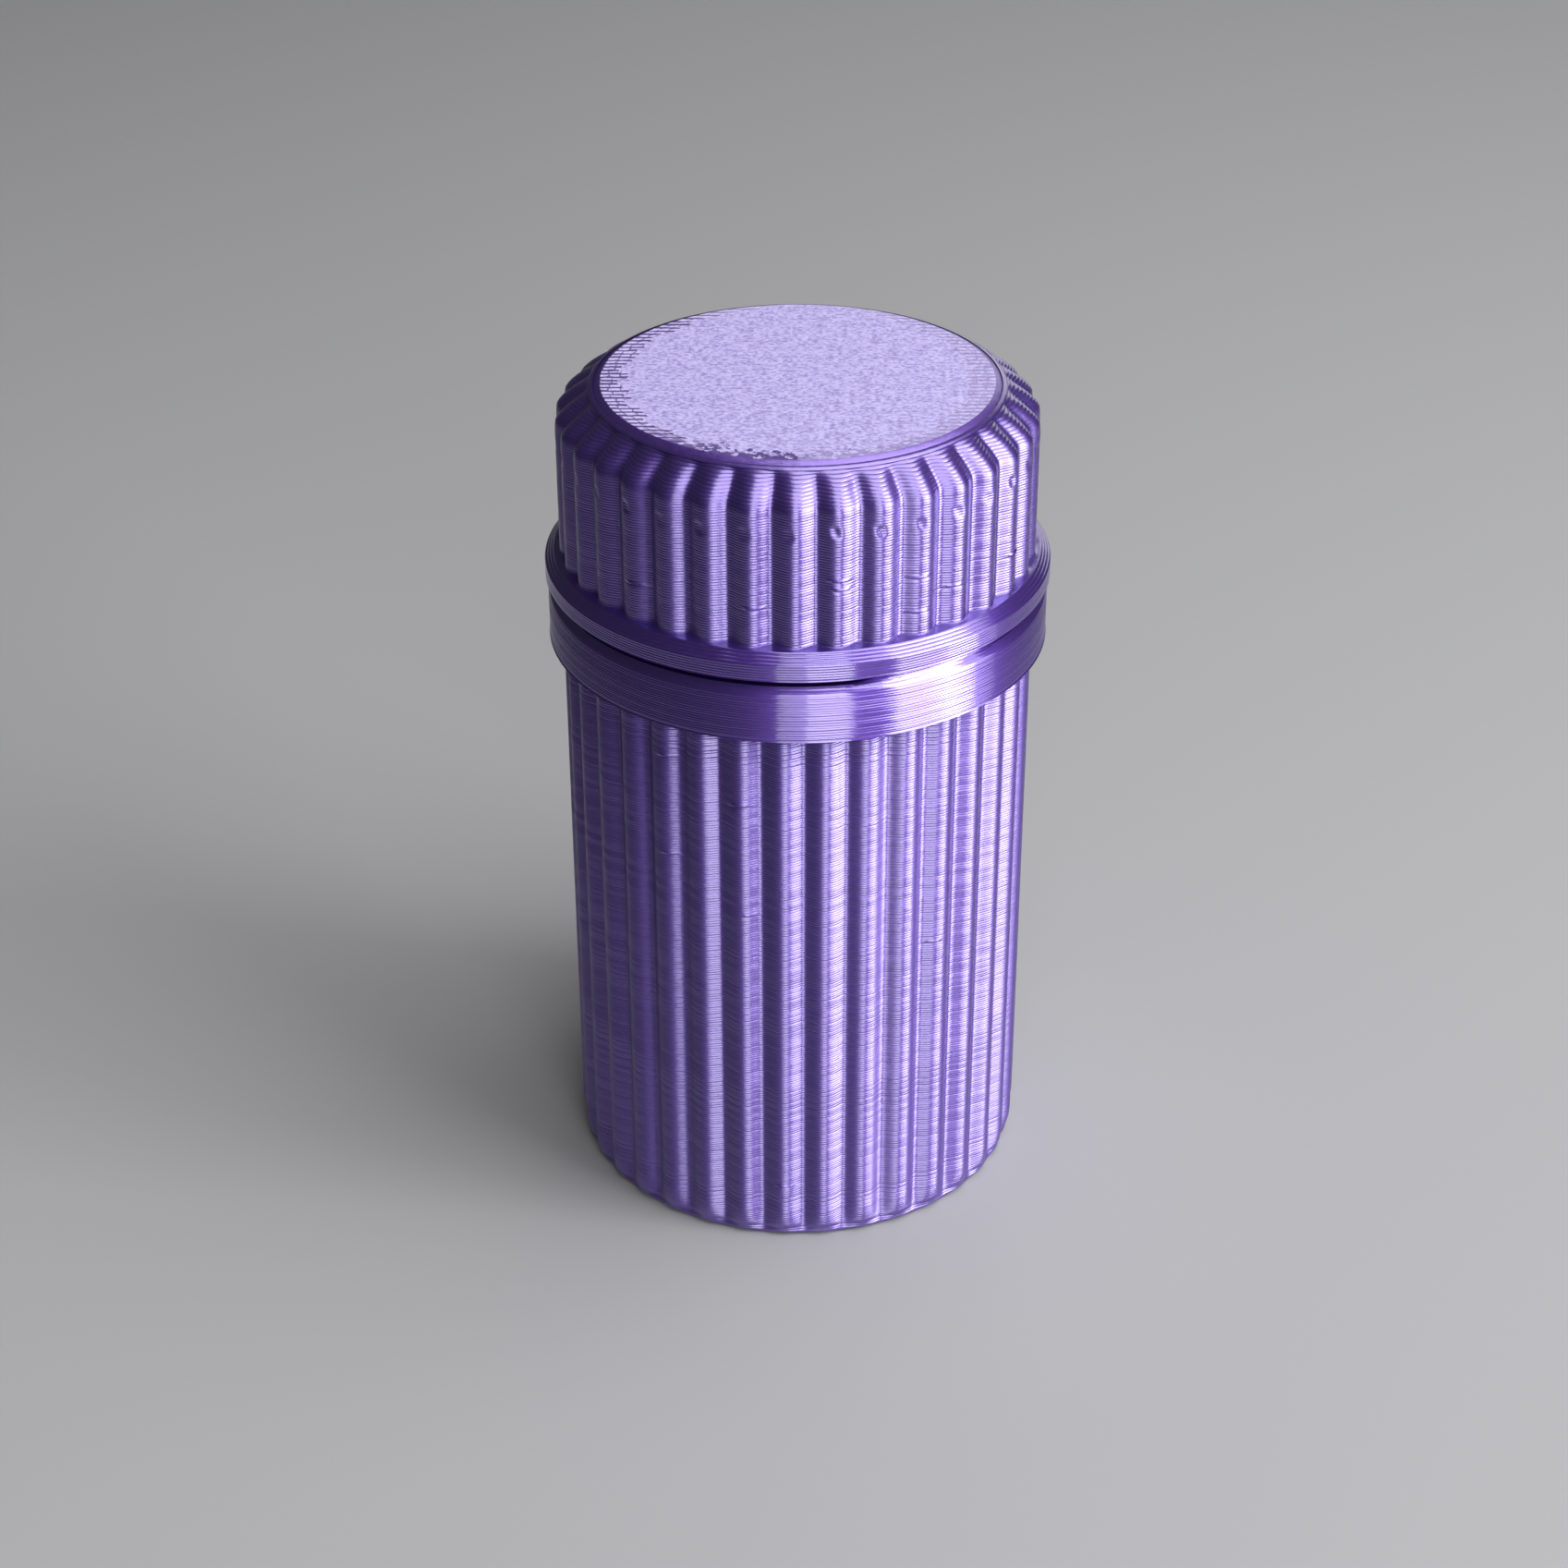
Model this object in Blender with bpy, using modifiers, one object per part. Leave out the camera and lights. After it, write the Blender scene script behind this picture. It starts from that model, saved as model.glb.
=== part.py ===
# Screw-top holder for one eye drop bottle: a ribbed cup, a ribbed screw lid and the lid's stop ring.
# Metres, +Z up. The origin is the centre of the foot, on the surface that the holder stands on.

import math

import bmesh
import bpy

# Ribs, alike on the cup and the lid; the turns place the first valley of each, from +X about +Z
RIB_COUNT = 35
RIB_DEPTH = 0.0006
STEPS_PER_RIB = 8
CUP_RIB_TURN = math.radians(-88.43)
LID_RIB_TURN = math.radians(-96.0)

# Radii, from the well that holds the bottle out to the crests of the lid's ribs
WELL_RADIUS = 0.01322
NECK_WALL = 0.0023
NECK_GAP = 0.0004
LID_WALL = 0.0015
LID_OVER_CUP = 0.00006

# Cup, from the foot up to the rim of its collar
CUP_HEIGHT = 0.0458
FOOT_INSET = 0.00096
FOOT_HEIGHT = 0.0026
FOOT_STEPS = 6
COLLAR_PROUD = 0.00102
COLLAR_HEIGHT = 0.0042
COLLAR_CHAMFER_WIDTH = 0.00043
COLLAR_CHAMFER_HEIGHT = 0.0006
FLOOR_THICKNESS = 0.0020

# Lid, from its rim up to its flat top
SEAM_GAP = 0.0008
BAND_PROUD = 0.00113
BAND_HEIGHT = 0.0013
LEDGE_PROUD = 0.00048
LEDGE_HEIGHT = 0.0010
LID_RIB_HEIGHT = 0.0105
CROWN_HEIGHT = 0.00205
CROWN_FALL = 0.00272
CROWN_STRAIGHT_SHARE = 0.61
CROWN_RIB_POWER = 2.5
CROWN_STEPS = 6
TOP_BEVEL_WIDTH = 0.00073
TOP_BEVEL_HEIGHT = 0.00035
ROOF_THICKNESS = 0.0020

# Mouths of the neck and the lid, and the stop ring that lands on the neck's rim
MOUTH_CHAMFER = 0.0003
RING_WIDTH = 0.0010
RING_HEIGHT = 0.0014
SEAT_GAP = 0.0003

# Roundness of the turned shapes, their seam's weld, and how far every cut runs past what it cuts
TURN_STEPS = 72
WELD_DISTANCE = 0.00001
CUT_OVERRUN = 0.0010
SHARP_ANGLE = math.radians(30)

# Heights above the foot
COLLAR_TOP = CUP_HEIGHT + COLLAR_HEIGHT
LID_BASE = COLLAR_TOP + SEAM_GAP

# Heights above the lid's own rim
LEDGE_TOP = BAND_HEIGHT + LEDGE_HEIGHT
CROWN_BASE = LEDGE_TOP + LID_RIB_HEIGHT
CROWN_TOP = CROWN_BASE + CROWN_HEIGHT
LID_TOP = CROWN_TOP + TOP_BEVEL_HEIGHT
CAVITY_TOP = LID_TOP - ROOF_THICKNESS
RING_BASE = CAVITY_TOP - SEAT_GAP - RING_HEIGHT
NECK_TOP = LID_BASE + RING_BASE - SEAT_GAP

# Radii that follow
NECK_RADIUS = WELL_RADIUS + NECK_WALL
CAVITY_RADIUS = NECK_RADIUS + NECK_GAP
LID_TIP_RADIUS = CAVITY_RADIUS + LID_WALL + RIB_DEPTH
CUP_TIP_RADIUS = LID_TIP_RADIUS - LID_OVER_CUP
FOOT_RADIUS = CUP_TIP_RADIUS - FOOT_INSET
COLLAR_RADIUS = CUP_TIP_RADIUS + COLLAR_PROUD
BAND_RADIUS = LID_TIP_RADIUS + BAND_PROUD
LEDGE_RADIUS = LID_TIP_RADIUS + LEDGE_PROUD
RING_INNER_RADIUS = WELL_RADIUS + MOUTH_CHAMFER

SILK_VIOLET = (0.205, 0.120, 0.420, 1.0)
PALE_VIOLET = (0.300, 0.190, 0.520, 1.0)


def clear_scene():
    for old in list(bpy.data.objects):
        bpy.data.objects.remove(old, do_unlink=True)


def new_collection(name):
    collection = bpy.data.collections.new(name)
    bpy.context.scene.collection.children.link(collection)
    return collection


def plastic(name, colour, roughness, metallic):
    material = bpy.data.materials.new(name)
    material.use_nodes = True
    shader = material.node_tree.nodes["Principled BSDF"]
    shader.inputs["Base Color"].default_value = colour
    shader.inputs["Roughness"].default_value = roughness
    shader.inputs["Metallic"].default_value = metallic
    return material


def ribbed_ring(bm, ring, turn, tip_radius, depth, height):
    """Moves one ring of points onto a ribbed outline: broad round ribs between narrower round valleys."""
    half_rib = math.pi / RIB_COUNT
    for index, vert in enumerate(ring):
        rib, step = divmod(index, STEPS_PER_RIB)
        from_tip = 2 * step / STEPS_PER_RIB - 1
        angle = turn + half_rib * (2 * rib + 1 + from_tip)
        fall = (3 * from_tip ** 2 - from_tip ** 6) / 2
        radius = tip_radius - depth * fall
        vert.co = (radius * math.cos(angle), radius * math.sin(angle), height)


def ribbed_solid(name, turn, sections):
    """Lofts a closed solid through ribbed outlines, each given as tip radius, rib depth and height."""
    bm = bmesh.new()
    points = RIB_COUNT * STEPS_PER_RIB
    ring = bmesh.ops.create_circle(bm, segments=points, radius=sections[0][0])["verts"]
    ribbed_ring(bm, ring, turn, *sections[0])
    bottom = bm.faces.new(reversed(ring))
    edges = list(bottom.edges)
    for section in sections[1:]:
        extruded = bmesh.ops.extrude_edge_only(bm, edges=edges)["geom"]
        raised = {item for item in extruded if isinstance(item, bmesh.types.BMVert)}
        edges = [item for item in extruded if isinstance(item, bmesh.types.BMEdge)]
        edges = [edge for edge in edges if raised.issuperset(edge.verts)]
        ring = [next(e.other_vert(v) for e in v.link_edges if e.other_vert(v) in raised) for v in ring]
        ribbed_ring(bm, ring, turn, *section)
    bm.faces.new(ring)
    bmesh.ops.recalc_face_normals(bm, faces=bm.faces)
    mesh = bpy.data.meshes.new(name)
    bm.to_mesh(mesh)
    bm.free()
    return bpy.data.objects.new(name, mesh)


def turned_solid(name, outline):
    """Turns an outline of radius and height about Z; it runs down its outer side."""
    mesh = bpy.data.meshes.new(name)
    closed = outline[0][0] > 0
    count = len(outline)
    edges = [(i, (i + 1) % count) for i in range(count if closed else count - 1)]
    mesh.from_pydata([(radius, 0, height) for radius, height in outline], edges, [])
    solid = bpy.data.objects.new(name, mesh)
    screw = solid.modifiers.new("Turn", "SCREW")
    screw.axis = "Z"
    screw.steps = TURN_STEPS
    screw.render_steps = TURN_STEPS
    screw.use_merge_vertices = True
    screw.merge_threshold = WELD_DISTANCE
    screw.use_smooth_shade = True
    return solid


def combine(target, operand, operation):
    modifier = target.modifiers.new(operand.name, "BOOLEAN")
    modifier.operation = operation
    modifier.solver = "EXACT"
    modifier.object = operand


def as_guide(guide, collection, parent=None):
    collection.objects.link(guide)
    guide.parent = parent
    guide.hide_render = True
    guide.display_type = "WIRE"


def as_part(part, collection, material, parent=None):
    collection.objects.link(part)
    part.parent = parent
    part.data.materials.append(material)
    part.data.shade_smooth()
    part.data.set_sharp_from_angle(angle=SHARP_ANGLE)


def cup_sections():
    """Rib outlines of the cup: a quarter ellipse rounds the ribs off onto the foot's plain ring."""
    valley_radius = CUP_TIP_RADIUS - RIB_DEPTH
    sections = []
    for step in range(FOOT_STEPS + 1):
        angle = math.pi / 2 * step / FOOT_STEPS
        tip_radius = FOOT_RADIUS + FOOT_INSET * math.sin(angle)
        depth = max(tip_radius - valley_radius, 0)
        sections.append((tip_radius, depth, FOOT_HEIGHT * (1 - math.cos(angle))))
    sections.append((CUP_TIP_RADIUS, RIB_DEPTH, CUP_HEIGHT + COLLAR_HEIGHT / 2))
    return sections


def make_cup(parts, guides):
    cup = ribbed_solid("container_body", CUP_RIB_TURN, cup_sections())
    as_part(cup, parts, plastic("container_silk", SILK_VIOLET, 0.34, 0.35))
    neck = turned_solid("collar_and_neck", [
        (0, NECK_TOP),
        (NECK_RADIUS - MOUTH_CHAMFER, NECK_TOP),
        (NECK_RADIUS, NECK_TOP - MOUTH_CHAMFER),
        (NECK_RADIUS, COLLAR_TOP),
        (COLLAR_RADIUS - COLLAR_CHAMFER_WIDTH, COLLAR_TOP),
        (COLLAR_RADIUS, COLLAR_TOP - COLLAR_CHAMFER_HEIGHT),
        (COLLAR_RADIUS, CUP_HEIGHT),
        (0, CUP_HEIGHT),
    ])
    as_guide(neck, guides)
    well = turned_solid("bottle_well", [
        (0, NECK_TOP + CUT_OVERRUN),
        (WELL_RADIUS + MOUTH_CHAMFER + CUT_OVERRUN, NECK_TOP + CUT_OVERRUN),
        (WELL_RADIUS, NECK_TOP - MOUTH_CHAMFER),
        (WELL_RADIUS, FLOOR_THICKNESS),
        (0, FLOOR_THICKNESS),
    ])
    as_guide(well, guides)
    combine(cup, neck, "UNION")
    combine(cup, well, "DIFFERENCE")


def lid_sections():
    """Rib outlines of the lid: a straight wall, a crown where the ribs die out, and a plain bevel."""
    sections = [(LID_TIP_RADIUS, RIB_DEPTH, LEDGE_TOP / 2)]
    for step in range(CROWN_STEPS + 1):
        rise = step / CROWN_STEPS
        fall = CROWN_STRAIGHT_SHARE * rise + (1 - CROWN_STRAIGHT_SHARE) * rise ** 2
        tip_radius = LID_TIP_RADIUS - CROWN_FALL * fall
        depth = RIB_DEPTH * (1 - rise ** CROWN_RIB_POWER)
        sections.append((tip_radius, depth, CROWN_BASE + CROWN_HEIGHT * rise))
    sections.append((LID_TIP_RADIUS - CROWN_FALL - TOP_BEVEL_WIDTH, 0, LID_TOP))
    return sections


def make_lid(parts, guides, axis):
    lid = ribbed_solid("screw_lid", LID_RIB_TURN, lid_sections())
    as_part(lid, parts, plastic("lid_silk", PALE_VIOLET, 0.36, 0.30), axis)
    band = turned_solid("lid_band", [
        (0, LEDGE_TOP),
        (LEDGE_RADIUS, LEDGE_TOP),
        (BAND_RADIUS, BAND_HEIGHT),
        (BAND_RADIUS, 0),
        (0, 0),
    ])
    as_guide(band, guides, axis)
    cavity = turned_solid("lid_cavity", [
        (0, CAVITY_TOP),
        (CAVITY_RADIUS, CAVITY_TOP),
        (CAVITY_RADIUS, MOUTH_CHAMFER),
        (CAVITY_RADIUS + MOUTH_CHAMFER + CUT_OVERRUN, -CUT_OVERRUN),
        (0, -CUT_OVERRUN),
    ])
    as_guide(cavity, guides, axis)
    combine(lid, band, "UNION")
    combine(lid, cavity, "DIFFERENCE")


def make_stop_ring(parts, axis):
    ring = turned_solid("lid_stop_ring", [
        (RING_INNER_RADIUS + RING_WIDTH, RING_HEIGHT),
        (RING_INNER_RADIUS + RING_WIDTH, 0),
        (RING_INNER_RADIUS, 0),
        (RING_INNER_RADIUS, RING_HEIGHT),
    ])
    as_part(ring, parts, plastic("ring_silk", SILK_VIOLET, 0.34, 0.35), axis)
    ring.location.z = RING_BASE


def main():
    clear_scene()
    parts = new_collection("eye_drop_bottle_holder")
    guides = new_collection("guides")
    # The lid turns and rises on this line, which runs up the middle of the neck
    axis = bpy.data.objects.new("lid_axis", None)
    parts.objects.link(axis)
    axis.location.z = LID_BASE
    make_cup(parts, guides)
    make_lid(parts, guides, axis)
    make_stop_ring(parts, axis)


main()
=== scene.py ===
from math import cos, pi, radians, sin, tan

import bpy
import numpy as np
from mathutils import Matrix, Quaternion, Vector


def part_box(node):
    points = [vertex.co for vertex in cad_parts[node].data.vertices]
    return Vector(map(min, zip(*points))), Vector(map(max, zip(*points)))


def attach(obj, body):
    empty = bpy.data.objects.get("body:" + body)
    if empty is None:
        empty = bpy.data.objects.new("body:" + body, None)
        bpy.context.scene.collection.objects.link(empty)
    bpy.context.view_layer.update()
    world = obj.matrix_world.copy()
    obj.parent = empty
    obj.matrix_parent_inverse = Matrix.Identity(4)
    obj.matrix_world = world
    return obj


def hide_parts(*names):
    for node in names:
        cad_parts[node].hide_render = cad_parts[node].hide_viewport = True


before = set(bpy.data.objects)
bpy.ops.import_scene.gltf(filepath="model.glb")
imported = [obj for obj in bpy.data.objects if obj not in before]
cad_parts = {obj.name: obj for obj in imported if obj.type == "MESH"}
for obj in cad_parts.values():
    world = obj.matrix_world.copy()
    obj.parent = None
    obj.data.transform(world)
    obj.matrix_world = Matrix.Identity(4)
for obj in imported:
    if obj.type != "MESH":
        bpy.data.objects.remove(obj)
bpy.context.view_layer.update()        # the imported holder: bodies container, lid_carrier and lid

cupLow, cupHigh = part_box("container_body")
lidLow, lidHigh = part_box("screw_lid")
print("frame loaded:", ", ".join(sorted(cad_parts)))

mm = 0.001
layer = 0.2 * mm          # height of one printed layer, for both printed parts
towardsCamera = -pi / 2   # angle about +Z, from +X, of the side that faces the camera
smoothUpTo = radians(38)  # an edge that turns by more than this stays sharp


# Ribbed outline, as angle and fall arrays: rib k spans its own slice, in which u runs from -1 at
# one valley to 1 at the next. angle = valley + (2k + 1 + u) * half a slice, and
# fall = (3 u^2 - u^6) / 2, which is round at the tip and more tightly round in the valley.
def ribOutline(ribs, steps, valley):
    across = 2 * np.arange(steps) / steps - 1
    slices = 2 * np.arange(ribs)[:, None] + 1
    angle = valley + pi / ribs * (slices + across)
    return angle.ravel(), np.tile((3 * across ** 2 - across ** 6) / 2, ribs)


# Rows of points from radius, angle and height arrays that broadcast together
def ringRows(radius, angle, height):
    radius, angle, height = np.broadcast_arrays(radius, angle, height)
    return np.stack([radius * np.cos(angle), radius * np.sin(angle), height], -1)


# Plain round rows through a profile of (radius, height) pairs, evenly stepped from one valley
def roundRows(profile, columns, valley):
    profile = np.array(profile)
    angle = valley + 2 * pi * np.arange(columns) / columns
    return ringRows(profile[:, :1], angle[None, :], profile[:, 1:])


# Faces between two rings whose counts differ by a whole ratio: each fine edge takes the nearest
# coarse point, and each coarse edge the fine point over its middle
def fanBetween(low, high):
    fine, coarse = (low, high) if len(low) >= len(high) else (high, low)
    ratio = len(fine) // len(coarse)
    half = ratio // 2
    f = np.arange(len(fine))
    c = np.arange(len(coarse))
    nearest = coarse[(f // ratio + (f % ratio >= half)) % len(coarse)]
    fineFans = np.stack([fine, np.roll(fine, -1), nearest], -1)
    coarseFans = np.stack([fine[c * ratio + half], np.roll(coarse, -1), coarse], -1)
    faces = np.concatenate([fineFans, coarseFans])
    return faces if len(low) >= len(high) else faces[:, ::-1]


# One mesh from point, quad and triangle arrays
def meshFrom(name, points, quads, triangles, finish, slots=None):
    mesh = bpy.data.meshes.new(name)
    corners = np.concatenate([quads.ravel(), triangles.ravel()])
    sizes = np.concatenate([np.full(len(quads), 4), np.full(len(triangles), 3)])
    mesh.vertices.add(len(points))
    mesh.vertices.foreach_set("co", points.astype(np.float32).ravel())
    mesh.loops.add(len(corners))
    mesh.loops.foreach_set("vertex_index", corners.astype(np.int32))
    mesh.polygons.add(len(sizes))
    mesh.polygons.foreach_set("loop_start", (np.cumsum(sizes) - sizes).astype(np.int32))
    for material in finish:
        mesh.materials.append(material)
    if slots is not None:
        mesh.polygons.foreach_set("material_index", slots.astype(np.int32))
    mesh.update(calc_edges=True)
    mesh.validate()
    mesh.shade_smooth()
    mesh.set_sharp_from_angle(angle=smoothUpTo)
    piece = bpy.data.objects.new(name, mesh)
    bpy.context.scene.collection.objects.link(piece)
    return piece


# Closed skin from blocks of rows, which run outwards from a point on the axis and back to one.
# Neighbouring blocks may differ in columns by a whole ratio. Each block names its finish.
def closedSkin(name, blocks, finish, startHeight, endHeight):
    counts = [rows.shape[0] * rows.shape[1] for rows, slot in blocks]
    starts = np.cumsum([0] + counts)
    quads, quadSlots, fans, fanSlots, edges = [], [], [], [], []
    for (rows, slot), start in zip(blocks, starts):
        depth, columns = rows.shape[:2]
        i = start + np.arange(depth - 1)[:, None] * columns
        j = np.arange(columns)[None, :]
        k = (j + 1) % columns
        block = np.stack([i + j, i + k, i + columns + k, i + columns + j], -1).reshape(-1, 4)
        quads.append(block)
        quadSlots.append(np.full(len(block), slot))
        edges.append((start + j.ravel(), start + (depth - 1) * columns + j.ravel(), slot))
    for (first, last, slot), (nextFirst, nextLast, nextSlot) in zip(edges, edges[1:]):
        fans.append(fanBetween(last, nextFirst))
        fanSlots.append(np.full(len(fans[-1]), nextSlot))
    bottom, top = starts[-1], starts[-1] + 1
    first, last = edges[0][0], edges[-1][1]
    fans.append(np.stack([np.full(len(first), bottom), np.roll(first, -1), first], -1))
    fans.append(np.stack([last, np.roll(last, -1), np.full(len(last), top)], -1))
    fanSlots.append(np.full(len(first), edges[0][2]))
    fanSlots.append(np.full(len(last), edges[-1][2]))
    poles = np.array([[0, 0, startHeight], [0, 0, endHeight]])
    points = np.concatenate([rows.reshape(-1, 3) for rows, slot in blocks] + [poles])
    slots = np.concatenate(quadSlots + fanSlots)
    return meshFrom(name, points, np.concatenate(quads), np.concatenate(fans), finish, slots)


# Slow drift of each rib along its height: the mean of some sine waves with phases of the rib's own
def ribDrift(heights, part, dice):
    lengths = part["driftLengths"]
    phases = dice.uniform(0, 2 * pi, (len(lengths), part["ribs"]))
    waves = [np.sin(2 * pi * heights[:, None] / length + phase) for length, phase in zip(lengths, phases)]
    return part["drift"] * np.repeat(sum(waves) / len(lengths), part["steps"], axis=1)


# Small print scars: each is a short level ridge with a shallow dip under it, at its own azimuth
# and height, as a bell across the layer and along the rib's width
def scarRelief(angle, heights, part):
    spread = part["scarSpread"]
    relief = np.zeros((len(heights), len(angle)))
    for azimuth, height, width in part["scars"]:
        turn = np.angle(np.exp(1j * (angle - towardsCamera - radians(azimuth))))
        along = np.exp(-(turn / radians(width)) ** 4)[None, :]
        ridge = np.exp(-((heights - height) / spread) ** 2)
        dip = np.exp(-((heights - height + 2 * spread) / spread) ** 2)
        relief += part["scarRise"] * along * (ridge - part["scarDipShare"] * dip)[:, None]
    return relief


# One dent on each rib: a slanted bell around its own point, with a flatter head up the rib than
# across it, moved a little and made more or less deep by chance
def ribDents(angle, heights, part, dice):
    dent = part["dent"]
    relief = np.zeros((len(heights), len(angle)))
    for rib in range(part["ribs"]):
        place = rib + dent["across"] + dice.uniform(-dent["acrossSpread"], dent["acrossSpread"])
        middle = part["valley"] + 2 * pi / part["ribs"] * place
        turn = np.degrees(np.angle(np.exp(1j * (angle - middle)))) / dent["wide"]
        shift = dice.uniform(-dent["riseSpread"], dent["riseSpread"])
        rise = (heights - dent["height"]) / dent["tall"] + shift
        bell = np.exp(-(turn[None, :] + dent["slant"] * rise[:, None]) ** 2 - rise[:, None] ** 4)
        relief += dent["depth"] * dice.uniform(*dent["depthShares"]) * bell
    return relief


# Ribbed wall: radius = tip - depth * fall + wave * (calm * (drift - its most) + relief), so that the
# drift only goes inwards. Tip, depth and calm follow the height, and wave is a half sine over each
# rib, nothing in its valleys. The angle sways by wave * calm * a drift of its own / the wall's tip.
def ribbedWall(part, heights, tip, depth, calm, dice):
    ribs, steps = part["ribs"], part["steps"]
    angle, fall = ribOutline(ribs, steps, part["valley"])
    wave = np.tile(np.sin(pi * np.arange(steps) / steps), ribs)
    drift = ribDrift(heights, part, dice)
    sway = ribDrift(heights, part, dice) / part["tip"]
    relief = scarRelief(angle, heights, part)
    if "dent" in part:
        relief -= ribDents(angle, heights, part, dice)
    tip, depth, calm = tip[:, None], depth[:, None], calm[:, None]
    radius = tip - depth * fall + (drift - part["drift"]) * wave * calm + relief * wave
    return ringRows(radius, angle + sway * wave * calm, heights[:, None])


# Heights of all the rows asked for, moved to an even grid so that no two nearly coincide
def rowsOnGrid(heights, grid):
    return grid * np.unique(np.round(np.concatenate(heights) / grid))


# Close rows through each scar
def scarRows(part):
    near = np.arange(-part["scarReach"], part["scarReach"]) * part["scarSpread"]
    return [height + near for azimuth, height, width in part["scars"]]


# Values by socket, where a value that is another node's socket is linked
def feed(tree, node, inputs):
    for key, value in inputs.items():
        if isinstance(value, bpy.types.NodeSocket):
            tree.links.new(value, node.inputs[key])
        else:
            node.inputs[key].default_value = value


def put(tree, kind, inputs, **settings):
    made = tree.nodes.new("ShaderNode" + kind)
    for key, value in settings.items():
        setattr(made, key, value)
    feed(tree, made, inputs)
    return made


def calc(tree, operation, *values):
    return put(tree, "Math", dict(enumerate(values)), operation=operation).outputs[0]


def vectorCalc(tree, operation, *values):
    return put(tree, "VectorMath", dict(enumerate(values)), operation=operation).outputs[0]


def noise(tree, place, size, detail, roughness=0.5):
    inputs = {"Vector": place, "Scale": 1 / size, "Detail": detail, "Roughness": roughness}
    return put(tree, "TexNoise", inputs).outputs


def ownChance(tree, number):
    return put(tree, "TexWhiteNoise", {"W": number}, noise_dimensions="1D").outputs["Value"]


def blend(tree, share, first, second):
    return put(tree, "Mix", {"Factor": share, 6: first, 7: second}, data_type="RGBA").outputs[2]


def ramp(tree, value, start, end, low=0.0, high=1.0):
    inputs = {"Value": value, "From Min": start, "From Max": end, "To Min": low, "To Max": high}
    return put(tree, "MapRange", inputs).outputs[0]


def newMaterial(name):
    material = bpy.data.materials.new(name)
    material.use_nodes = True
    tree = material.node_tree
    return material, tree, tree.nodes["Principled BSDF"]


# Printed silk plastic. Layers are level slices of the object's height. Each layer is a bead: its
# normal leans from slightly down at its foot to well up at its top, so z is added to the normal as
# steep * strength * (lean + across) * (1 - nz)^2, with across from -1 to 1 up the layer, a strength
# of the layer's own, and nz the size of the normal's own z, since a slope shows only the top of each
# bead. Two noises tilt the normal further: one runs along each layer by itself, one is fine grain.
silk = {
    "deep": (0.092, 0.036, 0.333, 1),
    "light": (0.137, 0.060, 0.432, 1),
    "layerShade": 0.4,
    "metallic": 0.85,
    "roughness": 0.36,
    "coatWeight": 1.0,
    "coatRoughness": 0.23,
    "coatIor": 2.15,
    "steep": 0.40,
    "steepSpread": 0.6,
    "wanderTilt": 0.11,
    "wanderLength": 0.6 * mm,
    "layerShift": 7.3 * mm,
    "grainTilt": 0.02,
    "grainSize": 0.12 * mm,
    "detail": 2.0,
}


def silkPlastic(name, look, lean):
    material, tree, shader = newMaterial(name)
    coords = put(tree, "TexCoord", {}).outputs
    axes = put(tree, "SeparateXYZ", {0: coords["Object"]}).outputs
    level = calc(tree, "DIVIDE", axes["Z"], layer)
    index = calc(tree, "FLOOR", level)
    across = calc(tree, "MULTIPLY_ADD", calc(tree, "SUBTRACT", level, index), 2.0, -1.0)
    ownShade = ownChance(tree, index)
    spread = look["steep"] * look["steepSpread"]
    strength = calc(tree, "MULTIPLY_ADD", ownShade, spread, look["steep"] - spread / 2)
    ownUp = calc(tree, "ABSOLUTE", put(tree, "SeparateXYZ", {0: coords["Normal"]}).outputs["Z"])
    upright = calc(tree, "POWER", calc(tree, "SUBTRACT", 1.0, ownUp), 2.0)
    lift = calc(tree, "MULTIPLY", calc(tree, "ADD", across, lean), strength)
    lift = calc(tree, "MULTIPLY", lift, upright)
    shift = calc(tree, "MULTIPLY", index, look["layerShift"])
    alongLayer = put(tree, "CombineXYZ", {"X": axes["X"], "Y": axes["Y"], "Z": shift}).outputs[0]
    wander = noise(tree, alongLayer, look["wanderLength"], look["detail"])
    grain = noise(tree, coords["Object"], look["grainSize"], look["detail"])
    facing = vectorCalc(tree, "ADD", coords["Normal"], put(tree, "CombineXYZ", {"Z": lift}).outputs[0])
    for pattern, tilt in ((wander, look["wanderTilt"]), (grain, look["grainTilt"])):
        sway = vectorCalc(tree, "SUBTRACT", pattern["Color"], (0.5, 0.5, 0.5))
        facing = vectorCalc(tree, "MULTIPLY_ADD", sway, (tilt, tilt, tilt), facing)
    toWorld = {"vector_type": "NORMAL", "convert_from": "OBJECT", "convert_to": "WORLD"}
    facing = put(tree, "VectorTransform", {0: facing}, **toWorld).outputs[0]
    ownShade = calc(tree, "MULTIPLY", ownShade, look["layerShade"])
    tone = calc(tree, "MULTIPLY_ADD", wander["Fac"], 1 - look["layerShade"], ownShade)
    feed(tree, shader, {
        "Base Color": blend(tree, tone, look["deep"], look["light"]),
        "Normal": facing,
        "Coat Normal": facing,
        "Metallic": look["metallic"],
        "Roughness": look["roughness"],
        "Coat Weight": look["coatWeight"],
        "Coat Roughness": look["coatRoughness"],
        "Coat IOR": look["coatIor"],
    })
    return material


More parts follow.
